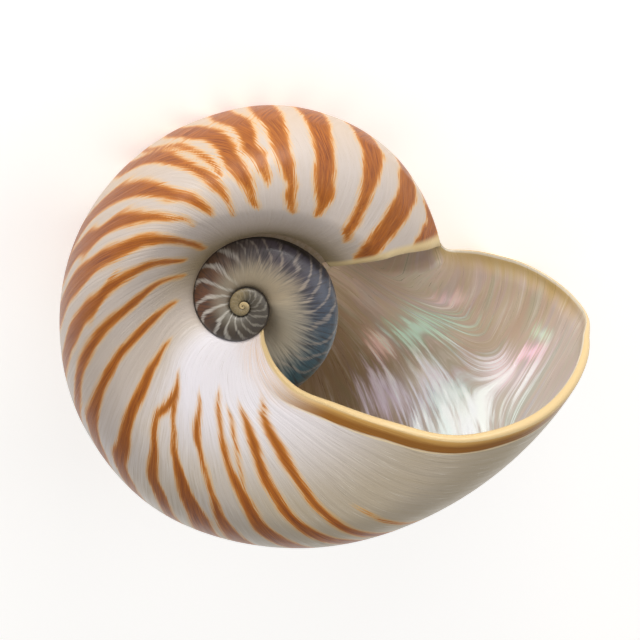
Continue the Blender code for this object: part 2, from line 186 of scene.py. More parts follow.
# Brown stripes, each from its outer end inwards: step back from the lip, place across the open
# side (1 on the keel, 0 at the seam), and half width in millimetres
STRIPES = [
    [(.814, 1.08, 5.0), (.823, .94, 3.5), (.836, .81, 3.4), (.849, .70, 3.2), (.861, .62, 2.9),
     (.869, .56, 1.5), (.876, .46, 0.3)],
    [(.770, 1.08, 4.6), (.779, .97, 3.4), (.790, .84, 2.6), (.801, .74, 2.2), (.811, .67, 1.4),
     (.817, .64, 1.0), (.821, .58, 1.3), (.830, .52, 0.8), (.839, .46, 0.2)],
    [(.731, 1.09, 4.0), (.746, 1.01, 3.4), (.756, .91, 2.5), (.761, .83, 2.2), (.770, .78, 1.9),
     (.777, .72, 1.4), (.784, .67, 0.9), (.787, .64, 0.2)],
    [(.674, 1.12, 3.7), (.690, 1.08, 4.0), (.706, 1.02, 3.9), (.719, .97, 3.2), (.733, .88, 2.9),
     (.741, .80, 2.5), (.750, .73, 2.4), (.759, .67, 2.0), (.767, .61, 1.3), (.773, .55, 1.0),
     (.783, .50, 0.2)],
    [(.641, 1.10, 1.6), (.661, 1.05, 1.6), (.680, 1.0, 1.4), (.697, .93, 1.2), (.710, .87, 1.1),
     (.720, .81, 0.8), (.727, .76, 0.6), (.730, .72, 0.2)],
    [(.621, 1.07, 4.0), (.639, 1.04, 3.8), (.657, .99, 3.2), (.673, .93, 2.6), (.689, .86, 2.0),
     (.703, .80, 1.7), (.717, .73, 1.8), (.727, .66, 1.6), (.736, .60, 1.0), (.741, .55, 0.5),
     (.746, .46, 0.2)],
    [(.554, 1.00, 5.0), (.574, .98, 4.8), (.594, .95, 4.4), (.619, .90, 4.0), (.640, .84, 3.0),
     (.660, .77, 2.2), (.676, .71, 2.0), (.689, .67, 1.9), (.699, .62, 1.9), (.709, .56, 1.3),
     (.714, .51, 0.2)],
    [(.514, .94, 4.6), (.533, .91, 4.4), (.559, .85, 4.0), (.581, .82, 3.6), (.601, .78, 3.0),
     (.623, .72, 2.1), (.644, .66, 1.4), (.661, .60, 1.0), (.674, .56, 0.7), (.683, .48, 0.2)],
    [(.474, .87, 4.6), (.497, .83, 4.4), (.521, .78, 3.9), (.549, .73, 3.4), (.570, .68, 2.8),
     (.593, .63, 2.3), (.614, .58, 1.7), (.631, .52, 1.9), (.641, .46, 1.7), (.650, .38, 1.4),
     (.656, .28, 1.0), (.650, .17, 0.3)],
    [(.431, .79, 4.0), (.449, .75, 4.2), (.466, .71, 3.7), (.486, .67, 2.8), (.504, .63, 2.5),
     (.524, .60, 2.3), (.537, .57, 2.0), (.556, .52, 1.7), (.576, .46, 1.9), (.590, .39, 1.5),
     (.597, .30, 1.2), (.600, .21, 0.3)],
    [(.389, .74, 3.0), (.401, .71, 3.2), (.416, .68, 2.6), (.430, .65, 2.5), (.449, .60, 2.4),
     (.464, .56, 2.1), (.480, .51, 2.0), (.497, .43, 2.0), (.513, .37, 1.9), (.529, .32, 1.7),
     (.539, .27, 1.1), (.541, .21, 0.5), (.532, .12, 0.2)],
    [(.344, .73, 4.2), (.361, .69, 4.0), (.380, .62, 2.8), (.396, .56, 2.4), (.409, .51, 2.4),
     (.421, .45, 2.2), (.430, .38, 2.2), (.439, .30, 2.1), (.444, .23, 1.9), (.443, .17, 1.0),
     (.440, .11, 0.2)],
    [(.304, .71, 3.8), (.321, .65, 3.8), (.329, .57, 3.2), (.339, .51, 2.8), (.346, .42, 2.5),
     (.350, .35, 2.4), (.356, .29, 2.0), (.357, .23, 1.5), (.357, .19, 1.0), (.350, .15, 0.3)],
    [(.264, .73, 3.4), (.269, .67, 3.1), (.277, .61, 2.9), (.286, .57, 2.4), (.291, .52, 2.0),
     (.294, .47, 1.9), (.301, .41, 1.5), (.304, .36, 1.3), (.294, .31, 1.3), (.286, .27, 1.5),
     (.281, .24, 1.4), (.280, .21, 0.9), (.280, .18, 0.2)],
    [(.239, .68, 5.2), (.241, .60, 4.8), (.247, .55, 3.9), (.253, .51, 2.8), (.259, .46, 2.1),
     (.266, .41, 1.6), (.271, .35, 1.2), (.276, .32, 0.9), (.280, .28, 1.3), (.280, .24, 0.2)],
    [(.214, .68, 5.0), (.217, .60, 3.4), (.219, .54, 2.2), (.219, .48, 1.5), (.221, .42, 1.5),
     (.226, .36, 1.4), (.230, .32, 1.9), (.230, .28, 1.8), (.223, .23, 0.9), (.214, .18, 0.1)],
    [(.177, .66, 4.6), (.183, .57, 4.1), (.184, .51, 2.8), (.183, .44, 2.5), (.186, .39, 2.1),
     (.189, .34, 1.4), (.186, .28, 1.3), (.183, .24, 0.9), (.174, .19, 0.6), (.160, .14, 0.0)],
    [(.167, .27, 0.3), (.161, .23, 0.4), (.149, .18, 0.1)],
    [(.141, .68, 4.2), (.147, .58, 3.4), (.149, .49, 2.4), (.149, .42, 2.0), (.149, .36, 1.8),
     (.144, .30, 1.6), (.137, .25, 1.5), (.130, .21, 1.0), (.120, .17, 0.3)],
    [(.121, .70, 3.2), (.123, .58, 2.5), (.120, .48, 2.0), (.119, .42, 1.7), (.117, .37, 1.7),
     (.113, .31, 1.7), (.107, .26, 1.6), (.099, .21, 1.1), (.089, .18, 0.8), (.071, .15, 0.1)],
    [(.099, .72, 0.8), (.099, .60, 1.0), (.097, .55, 0.7), (.094, .50, 0.4), (.094, .47, 0.0)],
    [(.867, 1.02, 4.6), (.876, .95, 4.2), (.884, .86, 3.5), (.890, .80, 2.9), (.897, .74, 2.1),
     (.906, .68, 1.9), (.914, .61, 1.8), (.923, .53, 2.0), (.930, .43, 1.7), (.947, .32, 0.2)],
    [(.921, .99, 3.9), (.930, .92, 4.6), (.937, .83, 4.2), (.947, .73, 4.0), (.956, .65, 3.6),
     (.966, .53, 3.3), (.979, .38, 3.0), (.991, .28, 2.0), (1.0, .23, 1.0)],
    [(.961, 1.02, 2.5), (.973, .98, 3.8), (.984, .87, 4.5), (.993, .76, 3.7)],
]

# Depths stay within the limit, in millimetres. Each end of a stripe runs on by the tip: inwards its
# width drops away, and outwards it keeps part of its course. All are slimmer than their table.
STRIPE_LIMIT = 6.0
STRIPE_TIP = 0.15
STRIPE_TIP_DROP = -7.0
STRIPE_BEND = 0.6
STRIPE_SLIM = 0.88

# Over the keel the stripes turn back along the closed side as they came
FOLD_AT = [0, 0.5, 1.0, 1.08, 1.2, 1.34, 1.5, 1.75, 2.0]
FOLD_TO = [0, 0.5, 1.0, 1.08, 1.14, 1.08, 0.86, 0.46, 0.1]

# How far the growth lines lean forward towards the keel
GROWTH_BACK = [0, .15, .22, .30, .37, .45, .52, .60, .68, .75, .85, 1.0]
GROWTH_LEAN = [0, 0, .01, .05, .10, .15, .16, .14, .09, .055, .05, .05]
GROWTH_ACROSS = [0, .2, .35, .5, .65, .8, .9, 1.0, 1.2]
GROWTH_SHAPE = [-.35, -.30, -.20, 0, .30, .68, 1.0, 1.25, 1.35]

# Camera: how far it is turned off the coiling axis, its distance, and the view's scale
VIEW_TILT = 35.0
VIEW_DISTANCE = 800.0
VIEW_SCALE = 0.31
VIEW_SIZE = 640
VIEW_CENTRE = (244.3, 270.0)
SENSOR = 36.0
VIEW_REACH = 20.0

# Studio: the floor, the light all round, and the soft lights, each with its direction from the
# shell to the camera's right, up and back, its distance and size in metres, power and colour
FLOOR_REACH = 3.0
FLOOR_WHITE = (0.92, 0.92, 0.92, 1)
FLOOR_GLOW = 0.45
AIR_COLOUR = (1.0, 0.975, 0.94, 1)
AIR_LIGHT = 0.5
LIGHT_AIM = 0.04
SOFT_LIGHTS = [
    ("key_light", (-0.55, 0.75, 0.75), 1.1, 0.6, 6.5, (1.0, 0.94, 0.86)),
    ("mouth_light", (0.25, 0.85, 0.95), 1.1, 0.5, 8.0, (1.0, 0.97, 0.92)),
    ("fill_light", (0.9, 0.1, 0.6), 1.2, 0.8, 2.5, (0.95, 0.97, 1.0)),
]


def smooth_table(x, xs, ys):
    """Cubic curve through the points (xs, ys) with the slope of their neighbours at each point."""
    xs = np.asarray(xs, float)
    ys = np.asarray(ys, float)
    slope = np.gradient(ys, xs)
    x = np.clip(np.asarray(x, float), xs[0], xs[-1])
    k = np.clip(np.searchsorted(xs, x, side="right") - 1, 0, len(xs) - 2)
    h = xs[k + 1] - xs[k]
    t = (x - xs[k]) / h
    start = (2 * t**3 - 3 * t**2 + 1) * ys[k] + (t**3 - 2 * t**2 + t) * h * slope[k]
    end = (-2 * t**3 + 3 * t**2) * ys[k + 1] + (t**3 - t**2) * h * slope[k + 1]
    return start + end


def ease(x):
    """Smooth step from 0 to 1: three x squared less two x cubed."""
    x = np.clip(x, 0, 1)
    return x * x * (3 - 2 * x)


def coil_radius(angle):
    """Outer radius of the coil: it shrinks by the same factor in each turn, less so in the mouth."""
    turn = np.asarray(angle, float) - COIL_RADIUS_AT
    turn = np.where(turn < 0, turn * COIL_LATE_GROWTH, turn)
    return COIL_RADIUS * COIL_GROWTH ** (-turn / 360)


def coil_point(angle, around, grow=1.0):
    """Point of the coil's tube, an ellipse carried along a flat spiral that leans to the mouth.

    around is 0 on the outside, 90 on the crest and 180 on the inside of the tube.
    """
    angle = np.asarray(angle, float)
    around = np.radians(around)
    radius = coil_radius(angle)
    lean = math.radians(COIL_LEAN)
    out = radius * (1 - COIL_TUBE_WIDTH + grow * COIL_TUBE_WIDTH * np.cos(around))
    up = radius * COIL_TUBE_HEIGHT * (grow * np.sin(around) - 1)
    up = up - COIL_DIVE * ease((COIL_DIVE_START - angle) / COIL_DIVE_SPAN)
    x = out * np.cos(np.radians(angle))
    y = out * np.sin(np.radians(angle))
    return np.stack([x, y * math.cos(lean) + up * math.sin(lean),
                     COIL_HEIGHT + up * math.cos(lean) - y * math.sin(lean)], -1)


def seam(angle):
    """Radius and height of the line where the outer whorl meets the coil."""
    along = np.linspace(0, 430, 861)
    line = coil_point(along, SEAM_AROUND, SEAM_GROW)
    turned = np.degrees(np.unwrap(np.arctan2(line[:, 1], line[:, 0])))
    radius = np.hypot(line[:, 0], line[:, 1])
    return np.interp(angle, turned, radius), np.interp(angle, turned, line[:, 2])


def section_sizes(back):
    """Keel radius and crest radius of the whorl so many degrees back from the lip."""
    return smooth_table(back, BACK, KEEL_RADIUS), smooth_table(back, BACK, CREST_RADIUS)


def near_section(back, rho, seam_angle):
    """Radius and height on the open side: a hollow cone up to the crest, then a quarter ellipse."""
    keel, crest = section_sizes(back)
    height = smooth_table(back, BACK, NEAR_HEIGHT)
    seam_radius, seam_height = seam(seam_angle)
    slope = np.clip(rho / NEAR_CREST, 0, 1)
    arc = np.clip((rho - NEAR_CREST) / (1 - NEAR_CREST), 0, 1) * math.pi / 2
    inner = rho < NEAR_CREST
    rise = seam_radius + (crest - seam_radius) * slope
    radius = np.where(inner, rise, crest + (keel - crest) * np.sin(arc))
    fall = (height - seam_height) * (1 - slope) ** NEAR_HOLLOW
    return radius, np.where(inner, height - fall, height * np.cos(arc))


def far_section(back, s):
    """Radius and height on the closed side: a quarter ellipse, then a flank down to the dimple."""
    keel, crest = section_sizes(back)
    height = smooth_table(back, BACK, FAR_HEIGHT)
    arc = np.clip(s / FAR_CREST, 0, 1) * math.pi / 2
    rest = 1 - np.clip((s - FAR_CREST) / (1 - FAR_CREST), 0, 1)
    outer = s < FAR_CREST
    radius = np.where(outer, crest + (keel - crest) * np.cos(arc), crest * rest)
    flank = FAR_DIMPLE + (height - FAR_DIMPLE) * (1 - (1 - rest) ** FAR_HOLLOW)
    return radius, -np.where(outer, height * np.sin(arc), flank)


def laid_section(s):
    """Radius and height of the far lip where it lies on the earlier whorl, a step outside it."""
    start = LAID_START + (s - FAR_LIP_AT[-1]) / (1 - FAR_LIP_AT[-1]) * (1 - LAID_START)
    start = np.clip(start, 0, 1 - LAID_SLOPE_STEP)
    radius, height = far_section(0 * s + SPAN, start)
    radius2, height2 = far_section(0 * s + SPAN, start + LAID_SLOPE_STEP)
    length = np.hypot(radius2 - radius, height2 - height)
    return (radius - LAID_STEP * (height2 - height) / length,
            height + LAID_STEP * (radius2 - radius) / length)


def seam_angles(t):
    """Angle round the coil at which each step of the outer whorl meets it."""
    fade = 1 - ease(t / LIP_FADE)
    late = ease((t - LATE_START) / (1 - LATE_START))
    return TIP_ANGLE - t * SPAN + LIP_SWING[0] * fade + (END_SEAM_ANGLE - END_ANGLE) * late


def near_side(t, rho):
    """Radius, height and angle on the open side, from the lip (t = 0) to the end (t = 1)."""
    back = t * SPAN
    fade = 1 - ease(t / LIP_FADE)
    late = ease((t - LATE_START) / (1 - LATE_START))
    end = ease((t - 1 + EDGE_FADE) / EDGE_FADE)
    radius, height = near_section(back, rho, seam_angles(t))
    lip_radius, _ = near_section(0 * back, rho, 0 * back + TIP_ANGLE + LIP_SWING[0])
    lean = (END_SEAM_ANGLE - END_ANGLE) * (1 - rho) ** LEAN_POWER
    swing = smooth_table(lip_radius, LIP_RADIUS, LIP_SWING) * fade
    angle = TIP_ANGLE - back + swing + lean * late
    end_radius, end_height = near_section(0 * back + SPAN, rho, 0 * back + END_SEAM_ANGLE)
    radius = radius + (smooth_table(rho, EDGE_AT, EDGE_RADIUS) - end_radius) * end
    height = height + (smooth_table(rho, EDGE_AT, EDGE_Z) - end_height) * end
    angle = angle + (smooth_table(rho, EDGE_AT, EDGE_ANGLE) - END_ANGLE - lean) * end
    return radius, height, angle


def far_side(t, s):
    """Radius, height and angle on the closed side, from the lip (t = 0) to the end (t = 1)."""
    back = t * SPAN
    end = ease((t - 1 + EDGE_FADE) / EDGE_FADE)
    radius, height = far_section(back, s)
    plain_radius, plain_height = far_section(0 * back, s)
    laid_radius, laid_height = laid_section(s)
    free = s < FAR_LIP_AT[-1]
    blend = np.clip((s - FAR_LIP_AT[-1]) / LAID_BLEND, 0, 1)
    laid_radius = FAR_LIP_RADIUS[-1] * (1 - blend) + laid_radius * blend
    laid_height = FAR_LIP_Z[-1] * (1 - blend) + laid_height * blend
    lip_radius = np.where(free, smooth_table(s, FAR_LIP_AT, FAR_LIP_RADIUS), laid_radius)
    lip_height = np.where(free, smooth_table(s, FAR_LIP_AT, FAR_LIP_Z), laid_height)
    laid_swing = smooth_table(s, LAID_AT, LAID_SWING)
    swing = np.where(free, smooth_table(s, FAR_LIP_AT, FAR_LIP_SWING), laid_swing)
    shape = 1 - ease(t / FAR_LIP_FADE)
    radius = radius + (lip_radius - plain_radius) * shape
    height = height + (lip_height - plain_height) * shape
    angle = TIP_ANGLE - back + swing * (1 - ease(t / FAR_SWING_FADE))
    early = (1 - ease(s / UNDER_FADE)) * end
    radius = radius + (EDGE_RADIUS[-1] - KEEL_RADIUS[-1]) * early
    height = height + EDGE_Z[-1] * early
    angle = angle + smooth_table(s, UNDER_AT, UNDER_SWING) * end
    return radius, height, angle


def whorl(t, rho):
    """Point of the outer whorl's outside: rho 0 at the seam, 1 on the keel, 2 in the far dimple."""
    t, rho = np.broadcast_arrays(np.asarray(t, float), np.asarray(rho, float))
    near = near_side(t, np.clip(rho, 0, 1))
    far = far_side(t, np.clip(rho - 1, 0, 1))
    radius, height, angle = (np.where(rho <= 1, a, b) for a, b in zip(near, far))
    angle = np.radians(angle)
    return np.stack([radius * np.cos(angle), radius * np.sin(angle), height], -1)


def whorl_inside(t, rho, depth):
    """Point under the outside by the given depth, along the cross product of the two slopes."""
    t, rho = np.broadcast_arrays(np.asarray(t, float), np.asarray(rho, float))
    along = whorl(np.clip(t + SLOPE_STEP, 0, 1), rho) - whorl(np.clip(t - SLOPE_STEP, 0, 1), rho)
    across = whorl(t, np.clip(rho + SLOPE_STEP, 0, 2)) - whorl(t, np.clip(rho - SLOPE_STEP, 0, 2))
    normal = np.cross(across, along)
    normal /= np.linalg.norm(normal, axis=-1, keepdims=True)
    return whorl(t, rho) + np.asarray(depth, float)[..., None] * normal


def rest_turn():
    """Turn that lays the shell on its closed side."""
    lean_y = Matrix.Rotation(math.radians(REST_LEAN_Y), 3, "Y")
    return np.array(lean_y @ Matrix.Rotation(math.radians(REST_LEAN_X), 3, "X"))


def place(points):
    """Points of the shell's own frame in the frame that it lies in, in metres."""
    middle = np.array(FIT_MIDDLE)
    laid = points @ rest_turn().T + np.array(REST_SHIFT)
    return ((laid - middle) * FIT + middle) * MM


def strip_quads(columns, rows, closed_columns=False, closed_rows=False):
    """Corner numbers of the quads of a grid of points numbered column by column."""
    i = np.arange(columns if closed_columns else columns - 1)[:, None]
    j = np.arange(rows if closed_rows else rows - 1)[None, :]
    next_i, next_j = (i + 1) % columns, (j + 1) % rows
    corners = [i * rows + j, next_i * rows + j, next_i * rows + next_j, i * rows + next_j]
    return np.stack([c.ravel() for c in np.broadcast_arrays(*corners)], -1)


def tube_faces(count, rows):
    """Quads between closed rings of points, and triangles to the two end points after them."""
    quads = strip_quads(count, rows, closed_rows=True)
    ring = np.arange(rows)
    after = (ring + 1) % rows
    last = (count - 1) * rows
    start = np.stack([ring, after, 0 * ring + count * rows], -1)
    end = np.stack([last + after, last + ring, 0 * ring + count * rows + 1], -1)
    return quads, np.concatenate([start, end])


def tube_points(start, rings, end):
    """Points of closed rings, ring by ring, and then the two end points."""
    return np.concatenate([rings.reshape(-1, 3), start.reshape(1, 3), end.reshape(1, 3)])


def tube_values(rings, rows):
    """A value for each point of closed rings and their two ends, from a value for each ring."""
    return np.concatenate([np.repeat(rings, rows), rings[[0, -1]]])


def signed_volume(points, quads, corners):
    """Volume inside quads and triangles: a sixth of the sum of their triple products."""
    a, b, c, d = (points[quads[:, k]] for k in range(4))
    total = (a * np.cross(b, c)).sum() + (a * np.cross(c, d)).sum()
    a, b, c = (points[corners[:, k]] for k in range(3))
    return (total + (a * np.cross(b, c)).sum()) / 6


def shell_piece(name, points, faces, uv, values, materials, kinds=None, sharp=180.0):
    """Mesh object from points, quads, triangles, a place map and named values at each point."""
    points = place(points)
    quads, corners = faces
    if signed_volume(points, quads, corners) < 0:
        quads, corners = quads[:, ::-1], corners[:, ::-1]
    mesh = bpy.data.meshes.new(name)
    mesh.from_pydata(points, [], quads.tolist() + corners.tolist())
    mesh.validate()
    corner = np.zeros(len(mesh.loops), np.int32)
    mesh.loops.foreach_get("vertex_index", corner)
    layer = mesh.uv_layers.new(name="growth")
    layer.data.foreach_set("uv", uv[corner].astype(np.float32).ravel())
    for label, value in values.items():
        attribute = mesh.attributes.new(label, "FLOAT", "POINT")
        attribute.data.foreach_set("value", value.astype(np.float32))
    for material in materials:
        mesh.materials.append(material)
    if kinds is not None:
        mesh.polygons.foreach_set("material_index", kinds.astype(np.int32))
    mesh.shade_smooth()
    if sharp < 180:
        mesh.set_sharp_from_angle(angle=math.radians(sharp))
    item = bpy.data.objects.new(name, mesh)
    bpy.context.scene.collection.objects.link(item)
    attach(item, "root")
    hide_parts("shell")
    return item


def lip_distance(t, rho):
    """Millimetres from the lip, along the whorl."""
    steps = np.linspace(0, 1, LIP_RUN_STEPS)[:, None]
    line = whorl(steps, rho[None, :])
    run = np.concatenate([0 * rho[None, :], np.linalg.norm(np.diff(line, axis=0), axis=-1)])
    run = run.cumsum(0)
    return np.stack([np.interp(t, steps[:, 0], run[:, k]) for k in range(len(rho))], -1)


def stripe_depth(t, rho, points):
    """How deep each point is inside a brown stripe, in millimetres, and less than 0 outside.

    It is the stripe's half width less the distance from its middle line. The distance is the step
    from the line times the whorl's length per step, over the root of 1 plus the line's slope squared.
    """
    along = np.linalg.norm(np.gradient(points, t[:, 0], axis=0), axis=-1)
    across = np.linalg.norm(np.gradient(points, rho[0], axis=1), axis=-1)
    fold = smooth_table(rho, FOLD_AT, FOLD_TO)
    best = np.full(points.shape[:2], -STRIPE_LIMIT)
    for stripe in STRIPES:
        line = np.array(stripe[::-1])
        tip = [line[0, 0], line[0, 1] - STRIPE_TIP, STRIPE_TIP_DROP]
        run = (line[-1, 0] - line[-2, 0]) / (line[-1, 1] - line[-2, 1])
        bend = [line[-1, 0] + STRIPE_BEND * STRIPE_TIP * run, line[-1, 1] + STRIPE_TIP, line[-1, 2]]
        middle = np.vstack([tip, line, bend])
        where = smooth_table(fold, middle[:, 1], middle[:, 0])
        width = STRIPE_SLIM * np.interp(fold, middle[:, 1], middle[:, 2])
        slope = np.gradient(where, rho[0], axis=1) * along / np.maximum(across, 1)
        distance = np.abs(t - where) * along / np.sqrt(1 + slope**2)
        best = np.maximum(best, width - distance)
    return np.clip(best, -STRIPE_LIMIT, STRIPE_LIMIT)


def growth_place(t, rho):
    """Place on the whorl in growth lines: the line's number in degrees, and the place across."""
    lean = smooth_table(t, GROWTH_BACK, GROWTH_LEAN)
    shape = smooth_table(1 - np.abs(1 - rho), GROWTH_ACROSS, GROWTH_SHAPE)
    return np.stack([(t + lean * shape) * SPAN, rho + 0 * t], -1)


def sheet_depth(run, rho):
    """Thickness of the sheet: it thins towards the far lip and swells at the near lip."""
    far = ease((rho - FAR_LIP_FROM) / FAR_LIP_OVER) * (1 - ease(run / FAR_LIP_THINNING))
    near = ease(rho / NEAR_LIP_RISE) * (1 - ease((rho - NEAR_LIP_FALL[0]) / NEAR_LIP_FALL[1]))
    near = near * (1 - ease(run / NEAR_LIP_SWELLING))
    return SHEET - (SHEET - FAR_LIP_SHEET) * far + NEAR_LIP_SWELL * near


def round_edge(start, end, forward):
    """Rows from a start row to an end row, round half circles that reach no further than the rows."""
    bend = np.linspace(0, math.pi, RIM_STEPS + 2)[1:-1, None, None]
    half = (start - end) / 2
    size = np.linalg.norm(half, axis=-1, keepdims=True)
    edge = (start + end) / 2 + half * np.cos(bend) + forward * size * np.sin(bend)
    return edge - forward * size


def whorl_columns(outside, inside, lip, end):
    """Columns round the sheet: the outside from its end to the lip, the lip, the inside, the end."""
    shown = slice(RIM_TAKES, -RIM_TAKES)
    return np.concatenate([outside[shown][::-1], lip, inside[shown], end])


def whorl_faces(columns, rows):
    """Quads round the columns, and quads and small triangles that close the seam and the dimple."""
    outs = columns // 2 - RIM_STEPS
    first_in, last_in = outs + RIM_STEPS, columns - RIM_STEPS - 1
    out_order = np.arange(outs)
    in_order = np.arange(last_in, first_in - 1, -1)
    low = [np.stack([out_order[:-1], in_order[:-1], in_order[1:], out_order[1:]], -1)]
    tips = []
    for ring in (np.arange(outs - 1, first_in + 1), np.append(np.arange(last_in, columns), 0)):
        half = len(ring) // 2
        left, right = ring[:half], ring[::-1][:half]
        low.append(np.stack([left[:-1], right[:-1], right[1:], left[1:]], -1))
        tips.append([left[-1], right[-1], ring[half]])
    low, tips = np.concatenate(low) * rows, np.array(tips) * rows
    quads = [strip_quads(columns, rows, closed_columns=True), low, low[:, ::-1] + rows - 1]
    return np.concatenate(quads), np.concatenate([tips, tips[:, ::-1] + rows - 1])


def outer_whorl(shell_finish, nacre_finish):
    """The outer whorl: its outside, a round rim, its inside a sheet deeper, and its round end."""
    steps = np.linspace(0, 1, WHORL_STEPS) ** WHORL_CROWD
    near = np.linspace(0, 1, NEAR_ROWS)
    rho = np.concatenate([near, 1 + np.linspace(0, FAR_LAST, FAR_ROWS)[1:]])
    t, across = steps[:, None], rho[None, :]
    outside = whorl(t, across)
    inside = whorl_inside(t, across, sheet_depth(lip_distance(steps, rho), rho))
    ends = np.array([[0.0], [1.0]])
    forward = whorl(ends, rho) - whorl(np.abs(ends - EDGE_STEP), rho)
    forward /= np.linalg.norm(forward, axis=-1, keepdims=True)
    lip = round_edge(outside[0], inside[0], forward[0])
    end = round_edge(inside[-1], outside[-1], forward[1])
    points = whorl_columns(outside, inside, lip, end)
    columns, rows = points.shape[:2]
    faces = whorl_faces(columns, rows)
    place_t = whorl_columns(steps, steps, np.zeros(RIM_STEPS), np.ones(RIM_STEPS))
    depth = stripe_depth(t, across, outside)
    depth = whorl_columns(depth, depth, np.repeat(depth[:1], RIM_STEPS, 0),
                          np.repeat(depth[-1:], RIM_STEPS, 0))
    values = {
        "stripe": depth.ravel(),
        "lip": lip_distance(place_t, rho).ravel(),
        "back": np.repeat(place_t, rows),
    }
    uv = growth_place(place_t[:, None], across)
    column = np.concatenate([part[:, 0] for part in faces]) // rows
    nacre = (column >= columns // 2 - RIM_NACRE) & (column < columns - RIM_STEPS)
    item = shell_piece("outer_whorl", points.reshape(-1, 3), faces, uv.reshape(-1, 2), values,
                       [shell_finish, nacre_finish], nacre)


def blend_rows(start, end, count):
    """Rows of points evenly between two rows, both ends left out."""
    part = np.linspace(0, 1, count + 2)[1:-1, None, None]
    return start[None] * (1 - part) + end[None] * part


def drawn_in(ring, count, sink):
    """Rings drawn in to a ring's middle, outermost first, and the middle point.

    A ring at scale k is turned round the coiling axis by sink degrees times 1 less k squared.
    """
    scale = np.linspace(1, 0, count + 1)[1:, None, None]
    middle = ring.mean(0)
    rings = middle + (ring - middle) * scale
    turn = math.radians(sink) * (1 - scale[..., 0] ** 2)
    x = rings[..., 0] * np.cos(turn) - rings[..., 1] * np.sin(turn)
    y = rings[..., 0] * np.sin(turn) + rings[..., 1] * np.cos(turn)
    rings = np.stack([x, y, rings[..., 2]], -1)
    return rings[:-1], rings[-1, 0]


def chamber_wall(finish):
    """Closed block behind the living chamber, whose front is the hollow septum.

    Each ring runs from the coil's heart under the outside to the closed side, and then straight
    back: the points of the last part are the mix of the heart and the foot in even steps.
    """
    steps = np.linspace(SEPTUM_AT, SOLID_END_AT, BLOCK_STEPS)
    rho = np.linspace(*SOLID_REACH, BLOCK_ROWS)
    skin = whorl_inside(steps[:, None], rho[None, :], SOLID_DEPTH)
    heart = coil_point(seam_angles(steps), 0, 0.0)[:, None, :]
    foot = skin[:, -1:] * [FOOT_SCALE, FOOT_SCALE, 1]
    part = np.linspace(0, 1, BLOCK_BACK_ROWS + 1)[None, :-1, None]
    rings = np.concatenate([skin, foot * (1 - part) + heart * part], 1)
    front, front_middle = drawn_in(rings[0], SEPTUM_RINGS, -SEPTUM_DEPTH * SPAN)
    back, back_middle = drawn_in(rings[-1], BLOCK_END_RINGS, 0.0)
    rings = np.concatenate([front[::-1], rings, back])
    count, rows = rings.shape[:2]
    points = tube_points(front_middle, rings, back_middle)
    step = np.concatenate([np.full(len(front), steps[0]), steps, np.full(len(back), steps[-1])])
    across = np.concatenate([rho, np.linspace(2.0, 2.3, rows - len(rho))])
    across = np.concatenate([np.tile(across, count), [1.5, 1.5]])
    uv = np.stack([tube_values(step * SPAN, rows), across], -1)
    zero = np.zeros(len(points))
    values = {"lip": zero + FAR_FROM_LIP, "back": tube_values(step, rows)}
    item = shell_piece("chamber_wall", points, tube_faces(count, rows), uv, values, [finish],
                       sharp=CREASE_ANGLE)


def column_wall(finish):
    """The earlier whorl below the coil: a loft from the coil's outline down to the closed side."""
    angles = np.arange(COIL_START + 2, COIL_START + 360, COLUMN_STEP)
    top = coil_point(angles, 0, 0.0)
    out = COLUMN_TOP_SCALE * coil_radius(angles) / np.hypot(top[:, 0], top[:, 1])
    top = top * np.stack([out, out, 1 + 0 * out], -1)
    feet = []
    for rho in COLUMN_FEET:
        ring = whorl_inside(np.linspace(0, 1, 361), rho, SOLID_DEPTH)
        turned = np.degrees(np.unwrap(np.arctan2(ring[:, 1], ring[:, 0])))
        wanted = (angles - turned[-1]) % 360 + turned[-1]
        ring = [np.interp(wanted, turned[::-1], ring[::-1, k]) for k in range(3)]
        feet.append(np.stack(ring, -1))
    waist = top * [1, 1, COLUMN_WAIST]
    upper = blend_rows(top, waist, COLUMN_RINGS)
    lower = blend_rows(waist, feet[0], COLUMN_RINGS)
    loops = np.concatenate([[top], upper, [waist], lower, feet])
    count, rows = loops.shape[:2]
    points = tube_points(top.mean(0), loops, feet[-1].mean(0))
    turned = np.concatenate([np.tile(angles, count), angles[[0, 0]]])
    uv = np.stack([turned, tube_values(1.2 + np.arange(count) / count, rows)], -1)
    zero = np.zeros(len(points))
    values = {"lip": zero + FAR_FROM_LIP, "back": zero + SEPTUM_AT}
    item = shell_piece("inner_column", points, tube_faces(count, rows), uv, values, [finish],
                       sharp=CREASE_ANGLE)


def small_coil(finish):
    """The small dark coil: a closed tube with rounded ends that winds in to its first point."""
    angles = np.concatenate([np.linspace(COIL_START, COIL_MIDDLE, COIL_STEPS),
                             np.linspace(COIL_MIDDLE, COIL_END, COIL_STEPS)[1:]])
    around = np.arange(COIL_ROWS) * 360 / COIL_ROWS
    rings = coil_point(angles[:, None], around[None, :])
    points = tube_points(coil_point(angles[0], 0, 0.0), rings, coil_point(angles[-1], 0, 0.0))
    count, rows = rings.shape[:2]
    turned = tube_values(angles, rows)
    signed = np.where(around > 270, around - 360, around)
    signed = np.concatenate([np.tile(signed, count), [90, 90]])
    uv = np.stack([turned, signed], -1)
    values = {"turned": turned, "around": signed}
    item = shell_piece("small_coil", points, tube_faces(count, rows), uv, values, [finish])


def put(tree, kind, inputs=None, **settings):
    """New node with its settings, and its inputs linked or set."""
    node = tree.nodes.new(kind)
    for label, value in settings.items():
        setattr(node, label, value)
    for label, value in (inputs or {}).items():
        if isinstance(value, bpy.types.NodeSocket):
            tree.links.new(value, node.inputs[label])
        else:
            node.inputs[label].default_value = value
    return node


def sums(tree, operation, a, b=0.0):
    """Output of a Math node."""
    return put(tree, "ShaderNodeMath", {0: a, 1: b}, operation=operation).outputs[0]


